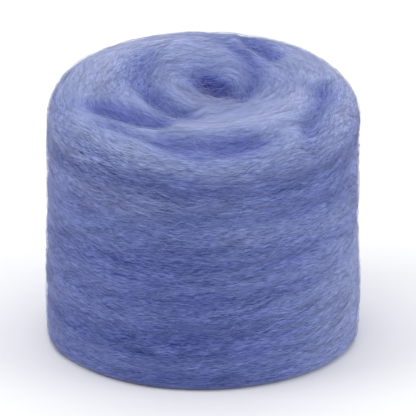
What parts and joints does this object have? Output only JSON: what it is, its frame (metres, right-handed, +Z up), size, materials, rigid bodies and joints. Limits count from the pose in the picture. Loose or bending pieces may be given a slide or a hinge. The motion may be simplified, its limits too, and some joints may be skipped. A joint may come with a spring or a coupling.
{
  "type": "wool roving drum",
  "caption": "Drum of combed wool roving wound from one length, with a swirled top, a soft rim and a flat end to rest on.",
  "frame": {"origin": "middle of the flat base that the drum rests on, under the middle of its bounding box", "axes": "+Z up along the winding's axis, -Y towards the side from which the picture looks, where the top is lowest"},
  "size_m": [0.1324, 0.1324, 0.1161],
  "materials": {
    "dyed_wool": "matt dyed wool fibre with a soft edge glow"
  },
  "bodies": {
    "root": {"roving_drum": "dyed_wool"}
  },
  "joints": []
}
